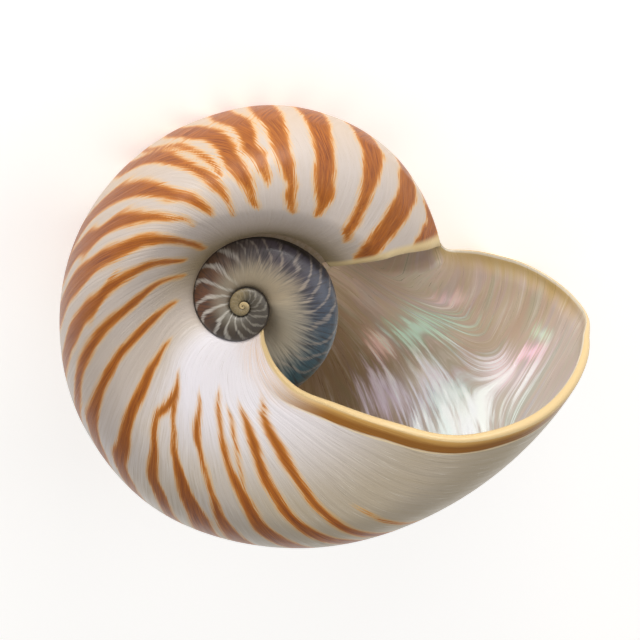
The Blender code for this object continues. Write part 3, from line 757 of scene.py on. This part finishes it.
def times(tree, a, b):
    """Two values multiplied."""
    return sums(tree, "MULTIPLY", a, b)


def plus(tree, a, b):
    """Two values added."""
    return sums(tree, "ADD", a, b)


def span(tree, value, low, high, to_low=0.0, to_high=1.0):
    """A value carried smoothly from one range to another."""
    inputs = {"Value": value, "From Min": low, "From Max": high, "To Min": to_low, "To Max": to_high}
    kind = "SMOOTHSTEP"
    return put(tree, "ShaderNodeMapRange", inputs, interpolation_type=kind).outputs["Result"]


def tint(tree, much, a, b):
    """Colour a changed towards colour b."""
    return put(tree, "ShaderNodeMix", {0: much, 6: a, 7: b}, data_type="RGBA").outputs[2]


def washed(tree, colour, *coats):
    """Colour with coats laid over it in turn: how much of each, and its own colour."""
    for much, shade in coats:
        colour = tint(tree, much, colour, shade)
    return colour


def ramp(tree, value, stops):
    """Colour that runs through the stops, each a value and a colour."""
    node = put(tree, "ShaderNodeValToRGB", {0: value})
    elements = node.color_ramp.elements
    for element, stop in zip(elements, (stops[0], stops[-1])):
        element.position, element.color = stop
    for at, shade in stops[1:-1]:
        elements.new(at).color = shade
    return node.outputs["Color"]


def value_of(tree, label):
    """A named value of the mesh."""
    return put(tree, "ShaderNodeAttribute", attribute_name=label).outputs["Fac"]


def growth_map(tree):
    """The piece's place map."""
    return put(tree, "ShaderNodeUVMap", uv_map="growth").outputs["UV"]


def across_of(tree):
    """Place across the whorl: the second number of the place map."""
    return put(tree, "ShaderNodeSeparateXYZ", {0: growth_map(tree)}).outputs[1]


def stretched(tree, vector, scale):
    """A place map, stretched."""
    return put(tree, "ShaderNodeMapping", {"Vector": vector, "Scale": scale}).outputs["Vector"]


def noise(tree, vector, scale=1.0, detail=3.0, rough=0.55, bend=0.0):
    """Value of a noise texture."""
    inputs = {"Vector": vector, "Scale": scale, "Detail": detail, "Roughness": rough, "Distortion": bend}
    return put(tree, "ShaderNodeTexNoise", inputs).outputs["Fac"]


def fibre_group():
    """Shader group: fine streaks that run across the growth of the shell, and broader bands."""
    tree = bpy.data.node_groups.new("growth_fibres", "ShaderNodeTree")
    tree.interface.new_socket("Place", in_out="INPUT", socket_type="NodeSocketVector")
    for label, low in (("Fine", 3.0), ("Reach", 10.0)):
        socket = tree.interface.new_socket(label, in_out="INPUT", socket_type="NodeSocketFloat")
        socket.default_value = low
    for label in ("Fibres", "Bands"):
        tree.interface.new_socket(label, in_out="OUTPUT", socket_type="NodeSocketFloat")
    source = tree.nodes.new("NodeGroupInput")
    scale = put(tree, "ShaderNodeCombineXYZ", {0: source.outputs["Fine"], 1: source.outputs["Reach"]})
    course = put(tree, "ShaderNodeVectorMath", {0: source.outputs["Place"], 1: scale.outputs[0]},
                 operation="MULTIPLY").outputs[0]
    fine = noise(tree, course, 1.0, 4.0, 0.65, 0.2)
    broad = noise(tree, course, 0.16, 3.0, 0.5, 0.3)
    sink = tree.nodes.new("NodeGroupOutput")
    tree.links.new(fine, sink.inputs["Fibres"])
    tree.links.new(broad, sink.inputs["Bands"])
    return tree


def finish_material(name):
    """New material with a Principled shader: the tree and the shader."""
    material = bpy.data.materials.new(name)
    material.use_nodes = True
    return material, material.node_tree, material.node_tree.nodes["Principled BSDF"]


def set_own(shader, values):
    """Set the shader's own sockets."""
    for label, value in values.items():
        shader.inputs[label].default_value = value


def fibres(tree, group, fine, reach):
    """The two values of the fibre group."""
    inputs = {"Place": growth_map(tree), "Fine": fine, "Reach": reach}
    return put(tree, "ShaderNodeGroup", inputs, node_tree=group).outputs[:2]


def bump(tree, shader, height, distance, strength=1.0):
    """Relief on the shader's normal."""
    inputs = {"Height": height, "Distance": distance, "Strength": strength}
    node = put(tree, "ShaderNodeBump", inputs)
    tree.links.new(node.outputs["Normal"], shader.inputs["Normal"])


def patch_group():
    """Shader group: a soft patch on the whorl, 1 in the middle and 0 outside, with ragged edges."""
    tree = bpy.data.node_groups.new("pearl_patch", "ShaderNodeTree")
    for label in ("Back", "Across", "Ragged", "Middle Back", "Middle Across", "Reach Back",
                  "Reach Across"):
        tree.interface.new_socket(label, in_out="INPUT", socket_type="NodeSocketFloat")
    tree.interface.new_socket("Patch", in_out="OUTPUT", socket_type="NodeSocketFloat")
    given = tree.nodes.new("NodeGroupInput").outputs
    square = 0.0
    for label in ("Back", "Across"):
        away = sums(tree, "SUBTRACT", given[label], given["Middle " + label])
        away = sums(tree, "DIVIDE", away, given["Reach " + label])
        square = plus(tree, times(tree, away, away), square)
    away = plus(tree, sums(tree, "SQRT", square), given["Ragged"])
    sink = tree.nodes.new("NodeGroupOutput")
    tree.links.new(span(tree, away, 0.1, 1.4, 1, 0), sink.inputs["Patch"])
    return tree


# Colours of the outside: the ground, the stripes and the lip
CREAM, LILAC = (0.70, 0.62, 0.54, 1), (0.72, 0.69, 0.75, 1)
DULL_CREAM, PEARL_WHITE = (0.52, 0.44, 0.36, 1), (0.88, 0.87, 0.90, 1)
# Older cream: partly painted shade, darkening the older whorl in place of less light there
OLDER_CREAM_AND_SHADE, KEEL_TAN = (0.50, 0.43, 0.38, 1), (0.56, 0.42, 0.29, 1)
# Late cream and ochre: partly painted shade on the young whorl, most towards the keel, partly its warmer
# tone
LATE_CREAM_AND_SHADE, LATE_OCHRE_AND_SHADE = (0.43, 0.36, 0.25, 1), (0.38, 0.31, 0.18, 1)
# Hollow brown: partly painted shade in the hollow by the seam, partly a warm tint. Slope white: painted
# light on the slope by the seam
HOLLOW_SHADE_BROWN, LIT_SLOPE_WHITE = (0.30, 0.225, 0.115, 1), (0.87, 0.86, 0.97, 1)
PALE_HAIR, DARK_HAIR, GROOVE = (0.74, 0.70, 0.62, 1), (0.25, 0.21, 0.15, 1), (0.40, 0.34, 0.28, 1)
STRIPE_DARK, STRIPE_ORANGE = (0.15, 0.028, 0.003, 1), (0.42, 0.120, 0.006, 1)
STRIPE_TAN, STRIPE_RUST = (0.47, 0.18, 0.035, 1), (0.33, 0.095, 0.004, 1)
STRIPE_EDGE, STRIPE_FRINGE = (0.58, 0.22, 0.03, 1), (0.70, 0.41, 0.12, 1)
LIP_GOLD, LIP_LINE, LIP_RIM = (0.68, 0.36, 0.09, 1), (0.74, 0.60, 0.38, 1), (0.66, 0.49, 0.25, 1)
LIP_OCHRE, LIP_BROWN, LIP_TAN = (0.58, 0.33, 0.09, 1), (0.27, 0.105, 0.010, 1), (0.50, 0.35, 0.14, 1)
END_GOLD = (0.68, 0.53, 0.28, 1)


def object_noise(tree, scale, detail, rough=0.55):
    """Noise in the piece's own space."""
    source = put(tree, "ShaderNodeTexCoord").outputs["Object"]
    return noise(tree, source, scale, detail, rough)


def shell_ground(tree, back, across, fine, coarse):
    """Cream and lilac ground, darker in the older whorl and plainer with fine hairs at the lip; painted
    shade darkens the older whorl in part, the hollow by the seam and the young whorl, and painted light
    whitens the slope by the seam.
    """
    cloud = object_noise(tree, 22.0, 2.0, 0.5)
    late = span(tree, back, 0.36, 0.13)
    outer = span(tree, across, 0.45, 0.95, 0, 0.7)
    # Partly painted shade: the hollow by the seam along the older whorl
    top = times(tree, span(tree, back, 0.36, 0.60), span(tree, across, 0.0, 0.42, 0.9, 0))
    # Painted light: the slope by the seam along the young whorl, where it faces the light, whitened
    slope = times(tree, span(tree, back, 0.35, 0.25), span(tree, across, 0.45, 0.15, 0, 0.7))
    pale_hair = times(tree, span(tree, fine, 0.60, 0.68), late)
    dark_hair = times(tree, span(tree, fine, 0.38, 0.30), late)
    return washed(
        tree, tint(tree, span(tree, cloud, 0.35, 0.65), CREAM, LILAC),
        (span(tree, coarse, 0.40, 0.70, 0, 0.65), DULL_CREAM),
        (span(tree, fine, 0.48, 0.75, 0, 0.7), PEARL_WHITE),
        # Partly painted shade: the older whorl darkened
        (span(tree, back, 0.26, 0.40, 0, 0.85), OLDER_CREAM_AND_SHADE),
        # Partly painted shade: the young whorl darkened, most towards the keel
        (times(tree, late, 0.82), LATE_CREAM_AND_SHADE),
        (times(tree, late, outer), LATE_OCHRE_AND_SHADE),
        (span(tree, across, 0.75, 1.12, 0, 0.55), KEEL_TAN),
        (top, HOLLOW_SHADE_BROWN),
        (slope, LIT_SLOPE_WHITE),
        (times(tree, pale_hair, 0.55), PALE_HAIR),
        (times(tree, dark_hair, 0.65), DARK_HAIR),
        (span(tree, fine, 0.42, 0.28, 0, 0.5), GROOVE))


def shell_stripes(tree, ground, depth, fine, coarse):
    """Ragged brown stripes with an orange edge and fringe, by the depth inside a stripe."""
    spot = object_noise(tree, 28.0, 3.0)
    ragged = plus(tree, depth, span(tree, fine, 0.25, 0.75, -0.9, 0.9))
    ragged = plus(tree, ragged, span(tree, spot, 0.3, 0.7, -0.35, 0.35))
    brown = washed(
        tree, tint(tree, span(tree, fine, 0.34, 0.66), STRIPE_DARK, STRIPE_ORANGE),
        (span(tree, coarse, 0.50, 0.75, 0, 0.6), STRIPE_TAN),
        (span(tree, spot, 0.42, 0.70, 0, 0.5), STRIPE_RUST),
        (span(tree, ragged, 0.0, 1.2, 0.85, 0), STRIPE_EDGE))
    return washed(tree, ground, (span(tree, ragged, -1.4, 0.1, 0, 0.65), STRIPE_FRINGE),
                  (span(tree, ragged, -0.30, 0.30), brown))


def shell_lip(tree, colour, lip, across, fine, coarse):
    """Golden wash, pale line, ochre band and pale rim, by the distance from the lip."""
    reach = plus(tree, lip, span(tree, coarse, 0.3, 0.7, -0.25, 0.25))
    along = span(tree, across, 0.08, 0.24)
    gold = times(tree, span(tree, reach, 12.0, 3.0, 0, 0.6), span(tree, across, 0.3, 0.1))
    line = times(tree, span(tree, reach, 7.1, 6.7), along)
    band = tint(tree, span(tree, reach, 1.6, 4.2), LIP_OCHRE, LIP_BROWN)
    band = tint(tree, span(tree, across, 0.6, 1.0, 0, 0.6), band, LIP_TAN)
    return washed(
        tree, colour,
        (times(tree, gold, span(tree, fine, 0.42, 0.62)), LIP_GOLD),
        (times(tree, line, 0.8), LIP_LINE),
        (times(tree, span(tree, reach, 6.5, 5.9), along), band),
        (span(tree, reach, 2.0, 1.0), LIP_RIM))


def striped_shell(group):
    """Pearly cream and lilac white with orange-brown stripes, growth lines and an ochre lip."""
    material, tree, shader = finish_material("striped_shell")
    fine, broad = fibres(tree, group, 2.6, 9.0)
    coarse, wide = fibres(tree, group, 0.9, 5.0)
    across = across_of(tree)
    back = value_of(tree, "back")
    colour = shell_ground(tree, back, across, fine, coarse)
    colour = shell_stripes(tree, colour, value_of(tree, "stripe"), fine, coarse)
    colour = shell_lip(tree, colour, value_of(tree, "lip"), across, fine, coarse)
    end = times(tree, span(tree, back, 0.984, 0.992), 0.9)
    tree.links.new(tint(tree, end, colour, END_GOLD), shader.inputs["Base Color"])
    tree.links.new(span(tree, coarse, 0.3, 0.7, 0.32, 0.46), shader.inputs["Roughness"])
    set_own(shader, {"Coat Weight": 0.15, "Specular IOR Level": 0.35, "Coat Roughness": 0.22})
    relief = plus(tree, times(tree, broad, 1.2), times(tree, fine, 0.5))
    relief = plus(tree, relief, times(tree, wide, 1.5))
    bump(tree, shader, relief, 0.00035, 0.6)
    return material


# Colours of the nacre, and the hues that its pearly streaks run through
NACRE_TAN, NACRE_GREY = (0.46, 0.335, 0.20, 1), (0.50, 0.445, 0.40, 1)
# Nacre deep: partly painted shade deep in the mouth, partly its gold tone
NACRE_DEEP_AND_SHADE, NACRE_CREAM = (0.40, 0.26, 0.115, 1), (0.60, 0.50, 0.40, 1)
NACRE_SHINE, NACRE_RIM = (0.92, 0.88, 0.86, 1), (0.70, 0.63, 0.50, 1)
NACRE_GOLD, NO_GLOW = (0.52, 0.37, 0.15, 1), (0, 0, 0, 1)
PEARL_HUES = [
    (0.34, (0.60, 0.78, 0.70, 1)), (0.45, (0.92, 0.72, 0.74, 1)), (0.53, (0.84, 0.80, 0.66, 1)),
    (0.61, (0.86, 0.70, 0.86, 1)), (0.70, (0.68, 0.74, 0.95, 1)),
]

# Pearl patches inside the mouth, the first partly painted shade and the last a painted highlight: step
# back from the lip, place across, both reaches, colour, force
PEARL_AND_PAINTED_LIGHT_PATCHES = [
    # Partly painted shade: dark brown deep in the mouth
    (0.150, 1.42, 0.060, 0.50, (0.34, 0.23, 0.11, 1), 1.0),
    (0.128, 1.26, 0.020, 0.10, (0.60, 0.52, 0.66, 1), 0.8),
    (0.114, 1.43, 0.013, 0.08, (0.84, 0.50, 0.45, 1), 0.75),
    (0.083, 1.42, 0.028, 0.10, (0.46, 0.78, 0.62, 1), 0.85),
    (0.046, 1.48, 0.012, 0.05, (0.86, 0.54, 0.56, 1), 0.55),
    (0.100, 1.27, 0.026, 0.10, (0.70, 0.68, 0.62, 1), 0.8),
    (0.096, 1.20, 0.030, 0.09, (0.70, 0.66, 0.86, 1), 0.7),
    (0.088, 1.18, 0.018, 0.05, (0.62, 0.96, 0.86, 1), 0.8),
    (0.058, 1.15, 0.022, 0.08, (0.94, 0.80, 0.92, 1), 0.85),
    (0.038, 1.17, 0.012, 0.035, (0.97, 0.60, 0.74, 1), 0.9),
    (0.027, 1.20, 0.006, 0.04, (0.60, 0.86, 0.66, 1), 0.7),
    # Painted highlight: near-white patch on the inner wall under the near lip
    (0.088, 1.10, 0.036, 0.15, (0.90, 0.99, 1.0, 1), 1.0),
]

# Patches darker than this don't glow; the glow is painted light in the mouth
PEARL_DARK = 0.2


def pearl_and_painted_light_patches(tree, patch, base, back, across, ragged):
    """Base colour with every patch laid over it, and how much the surface glows as painted light."""
    colour, glow = base, span(tree, back, 0.18, 0.09, 0, 0.35)
    for middle, at, reach_back, reach_across, shade, force in PEARL_AND_PAINTED_LIGHT_PATCHES:
        inputs = {"Back": back, "Across": across, "Ragged": ragged, "Middle Back": middle,
                  "Middle Across": at, "Reach Back": reach_back, "Reach Across": reach_across}
        shown = put(tree, "ShaderNodeGroup", inputs, node_tree=patch).outputs["Patch"]
        shown = times(tree, shown, force)
        colour = tint(tree, shown, colour, shade)
        if min(shade[:3]) > PEARL_DARK:
            glow = sums(tree, "MAXIMUM", glow, shown)
    return colour, glow


def mother_of_pearl(patch):
    """Iridescent nacre: tan and gold deep in the shell, partly painted shade there, pearly patches and
    streaks further out, with a painted highlight patch and a painted glow.
    """
    material, tree, shader = finish_material("mother_of_pearl")
    across = across_of(tree)
    back = value_of(tree, "back")
    lip = value_of(tree, "lip")
    skew = span(tree, back, 0.085, 0.05, 0, 0.3)
    fan = times(tree, sums(tree, "SUBTRACT", across, 1.07), skew)
    course = times(tree, plus(tree, back, fan), SPAN)
    course = put(tree, "ShaderNodeCombineXYZ", {0: course, 1: across}).outputs[0]
    streak = noise(tree, stretched(tree, course, (0.9, 5.0, 1)), 1.0, 4.0, 0.62, 0.3)
    flow = noise(tree, stretched(tree, course, (0.30, 2.4, 1)), 1.0, 4.0, 0.6, 0.6)
    hue = noise(tree, stretched(tree, course, (0.16, 3.5, 1)), 1.0, 3.0, 0.5, 0.8)
    base = washed(
        tree, tint(tree, span(tree, across, 1.30, 1.10), NACRE_TAN, NACRE_GREY),
        # Partly painted shade: darker deeper in the mouth
        (span(tree, back, 0.05, 0.16, 0, 0.75), NACRE_DEEP_AND_SHADE),
        (span(tree, flow, 0.40, 0.70, 0, 0.4), NACRE_CREAM))
    ragged = plus(tree, span(tree, streak, 0.25, 0.75, -0.55, 0.55),
                  span(tree, flow, 0.3, 0.7, -0.35, 0.35))
    colour, glow = pearl_and_painted_light_patches(tree, patch, base, back, across, ragged)
    shine = times(tree, span(tree, streak, 0.52, 0.76), span(tree, back, 0.22, 0.08, 0.15, 0.6))
    reach = plus(tree, lip, span(tree, flow, 0.3, 0.7, -0.8, 0.8))
    upper = span(tree, across, 1.10, 1.28, 0.25, 0.95)
    colour = washed(
        tree, colour,
        (span(tree, back, 0.20, 0.03, 0.05, 0.22), ramp(tree, hue, PEARL_HUES)),
        (times(tree, shine, span(tree, across, 1.60, 1.30, 0.3, 1.0)), NACRE_SHINE),
        (times(tree, span(tree, reach, 8.5, 1.2), upper), NACRE_GOLD),
        (span(tree, lip, 1.1, 0.6), NACRE_RIM))
    # Painted light: the glow brightens the nacre near the lip and in the pale patches, away from the rim
    glow = times(tree, glow, span(tree, lip, 1.5, 5.0))
    tree.links.new(colour, shader.inputs["Base Color"])
    tree.links.new(tint(tree, glow, NO_GLOW, colour), shader.inputs["Emission Color"])
    tree.links.new(span(tree, streak, 0.3, 0.7, 0.26, 0.40), shader.inputs["Roughness"])
    set_own(shader, {"Emission Strength": 0.42, "Metallic": 0.2, "Coat Weight": 0.5,
                     "Coat Roughness": 0.18})
    bump(tree, shader, plus(tree, flow, times(tree, streak, 0.5)), 0.0004, 0.3)
    return material


# Dark colours of the coil, by the angle turned from its outer end
COIL_COLOURS = [
    (-70, (0.075, 0.085, 0.110, 1)), (-45, (0.045, 0.120, 0.150, 1)),
    (-15, (0.055, 0.105, 0.150, 1)), (15, (0.048, 0.062, 0.095, 1)),
    (45, (0.045, 0.040, 0.058, 1)), (75, (0.080, 0.064, 0.082, 1)),
    (110, (0.105, 0.080, 0.072, 1)), (145, (0.150, 0.072, 0.036, 1)),
    (190, (0.150, 0.052, 0.020, 1)), (240, (0.060, 0.040, 0.024, 1)),
    (330, (0.050, 0.040, 0.030, 1)), (450, (0.090, 0.075, 0.048, 1)),
]
COIL_FIRST, COIL_LAST = COIL_COLOURS[0][0], COIL_COLOURS[-1][0]
# The seam colour is painted shade, where the coil meets the whorl or the turn over it
COIL_SHADOW, COIL_SEAM_SHADE = (0.030, 0.024, 0.024, 1), (0.010, 0.007, 0.006, 1)
STREAK_WARM, STREAK_PALE = (0.42, 0.35, 0.29, 1), (0.66, 0.63, 0.58, 1)
STREAK_INNER, COIL_GREY = (0.24, 0.22, 0.18, 1), (0.40, 0.385, 0.30, 1)
COIL_TAN, COIL_CREAM = (0.40, 0.32, 0.215, 1), (0.47, 0.42, 0.33, 1)
COIL_GOLD, COIL_HEART = (0.30, 0.225, 0.10, 1), (0.50, 0.38, 0.19, 1)

# The coil's pale streaks: degrees from one to the next, close and wide, and their sweep
STREAK_CLOSE = 13.0
STREAK_WIDE = 23.0
STREAK_SWEEP = 0.30


def coil_streaks(tree, swept, grain, left):
    """Pale streaks from two sine waves round the coil: fine ones first, broad ones at the left."""
    drift = noise(tree, stretched(tree, growth_map(tree), (0.035, 0.012, 1)), 1.0, 1.0, 0.5)
    course = plus(tree, swept, span(tree, drift, 0.2, 0.8, -5, 5))
    close = sums(tree, "SINE", times(tree, course, 2 * math.pi / STREAK_CLOSE))
    wide = sums(tree, "SINE", times(tree, course, 2 * math.pi / STREAK_WIDE))
    ragged = span(tree, grain, 0.25, 0.75, -0.45, 0.45)
    thin = span(tree, plus(tree, close, ragged), 0.50, 1.25, 0, 0.50)
    soft = span(tree, plus(tree, wide, ragged), 0.20, 1.35, 0, 0.75)
    return put(tree, "ShaderNodeMix", {0: left, 2: thin, 3: soft}).outputs[0]


def dark_coil():
    """Dark grey, brown and blue coil with pale swept streaks and a near-black line of painted shade at
    each seam.
    """
    material, tree, shader = finish_material("dark_coil")
    turned = value_of(tree, "turned")
    around = value_of(tree, "around")
    grain = noise(tree, stretched(tree, growth_map(tree), (0.50, 0.020, 1)), 1.0, 4.0, 0.65, 0.15)
    swept = plus(tree, turned, times(tree, around, STREAK_SWEEP))
    left = span(tree, turned, 70, 120)
    streaks = coil_streaks(tree, swept, grain, left)
    place_on = put(tree, "ShaderNodeMapRange", {
        "Value": swept, "From Min": COIL_FIRST, "From Max": COIL_LAST}).outputs["Result"]
    stops = [((angle - COIL_FIRST) / (COIL_LAST - COIL_FIRST), shade) for angle, shade in COIL_COLOURS]
    dark = tint(tree, span(tree, grain, 0.55, 0.35, 0, 0.7), ramp(tree, place_on, stops), COIL_SHADOW)
    pale = tint(tree, left, STREAK_WARM, STREAK_PALE)
    pale = tint(tree, span(tree, turned, 200, 290), pale, STREAK_INNER)
    inner = times(tree, span(tree, around, 70, 115, 0, 0.45), span(tree, turned, 330, 110))
    creamy = plus(tree, around, span(tree, grain, 0.3, 0.7, -14, 14))
    creamy = plus(tree, creamy, span(tree, turned, 20, -40, 0, 16))
    cream = times(tree, span(tree, creamy, 64, 122, 0, 0.9), span(tree, turned, 150, 70))
    # Painted shade: a near-black line in each seam
    seam_shade_line = times(tree, span(tree, around, 38, 27), span(tree, turned, 10, 50, 0.2, 1))
    golden = times(tree, span(tree, turned, 410, 470), span(tree, grain, 0.3, 0.7, 0.3, 0.9))
    colour = washed(
        tree, dark, (streaks, pale), (inner, COIL_GREY),
        (cream, tint(tree, span(tree, turned, 20, -30), COIL_TAN, COIL_CREAM)),
        (golden, COIL_GOLD),
        (span(tree, turned, 680, 760), COIL_HEART),
        (seam_shade_line, COIL_SEAM_SHADE))
    tree.links.new(colour, shader.inputs["Base Color"])
    tree.links.new(span(tree, grain, 0.3, 0.7, 0.28, 0.44), shader.inputs["Roughness"])
    set_own(shader, {"Coat Weight": 0.35, "Coat Roughness": 0.22})
    bump(tree, shader, plus(tree, grain, times(tree, streaks, 0.3)), 0.0003, 0.5)
    return material


def camera_axes():
    """Right, up and back directions of the camera in the frame that the shell lies in."""
    tilt = math.radians(VIEW_TILT)
    back = np.array([0, math.sin(tilt), math.cos(tilt)])
    right = np.cross([0, 1, 0], back)
    right /= np.linalg.norm(right)
    up = np.cross(back, right)
    return right, up, back


def set_camera():
    """Camera at the viewing angle, looking along the back direction."""
    right, up, back = camera_axes()
    half = VIEW_SIZE / 2
    spot = back * VIEW_DISTANCE - right * (VIEW_CENTRE[0] - half) * VIEW_SCALE
    spot = spot + up * (VIEW_CENTRE[1] - half) * VIEW_SCALE
    turn = rest_turn()
    data = bpy.data.cameras.new("view")
    data.sensor_width = SENSOR
    data.lens = SENSOR * VIEW_DISTANCE / VIEW_SCALE / VIEW_SIZE
    data.clip_end = VIEW_REACH
    item = bpy.data.objects.new("view", data)
    bpy.context.scene.collection.objects.link(item)
    axes = np.stack([turn @ right, turn @ up, turn @ back], -1)
    matrix = np.eye(4)
    matrix[:3, :3] = axes
    matrix[:3, 3] = place(spot[None])[0]
    item.matrix_world = Matrix(matrix.tolist())
    bpy.context.scene.camera = item


def soft_light(name, direction, distance, size, power, colour):
    """Square soft light, set out from the shell along camera directions: right, up and back."""
    axes = np.stack(camera_axes(), -1)
    way = rest_turn() @ axes @ np.array(direction, float)
    way /= np.linalg.norm(way)
    data = bpy.data.lights.new(name, "AREA")
    data.shape = "SQUARE"
    data.size = size
    data.energy = power
    data.color = colour
    item = bpy.data.objects.new(name, data)
    bpy.context.scene.collection.objects.link(item)
    item.location = Vector(way * distance) + Vector((0, 0, LIGHT_AIM))
    item.rotation_euler = Vector(way).to_track_quat("Z", "Y").to_euler()


def studio():
    """Pale floor, soft surrounding light and the soft lights."""
    corners = np.array([(-1, -1, 0), (1, -1, 0), (1, 1, 0), (-1, 1, 0)]) * FLOOR_REACH
    mesh = bpy.data.meshes.new("floor")
    mesh.from_pydata(corners, [], [(0, 1, 2, 3)])
    floor = bpy.data.objects.new("floor", mesh)
    bpy.context.scene.collection.objects.link(floor)
    material, _, shader = finish_material("pale_floor")
    set_own(shader, {"Base Color": FLOOR_WHITE, "Roughness": 0.9, "Emission Color": (1, 1, 1, 1),
                     "Emission Strength": FLOOR_GLOW})
    mesh.materials.append(material)
    world = bpy.data.worlds.new("studio")
    world.use_nodes = True
    set_own(world.node_tree.nodes["Background"], {"Color": AIR_COLOUR, "Strength": AIR_LIGHT})
    bpy.context.scene.world = world
    bpy.context.scene.view_settings.view_transform = "Standard"
    for light in SOFT_LIGHTS:
        soft_light(*light)


def main():
    """Build the looks."""
    group = fibre_group()
    shell_finish = striped_shell(group)
    nacre_finish = mother_of_pearl(patch_group())
    outer_whorl(shell_finish, nacre_finish)
    chamber_wall(nacre_finish)
    column_wall(nacre_finish)
    small_coil(dark_coil())
    set_camera()
    studio()


main()
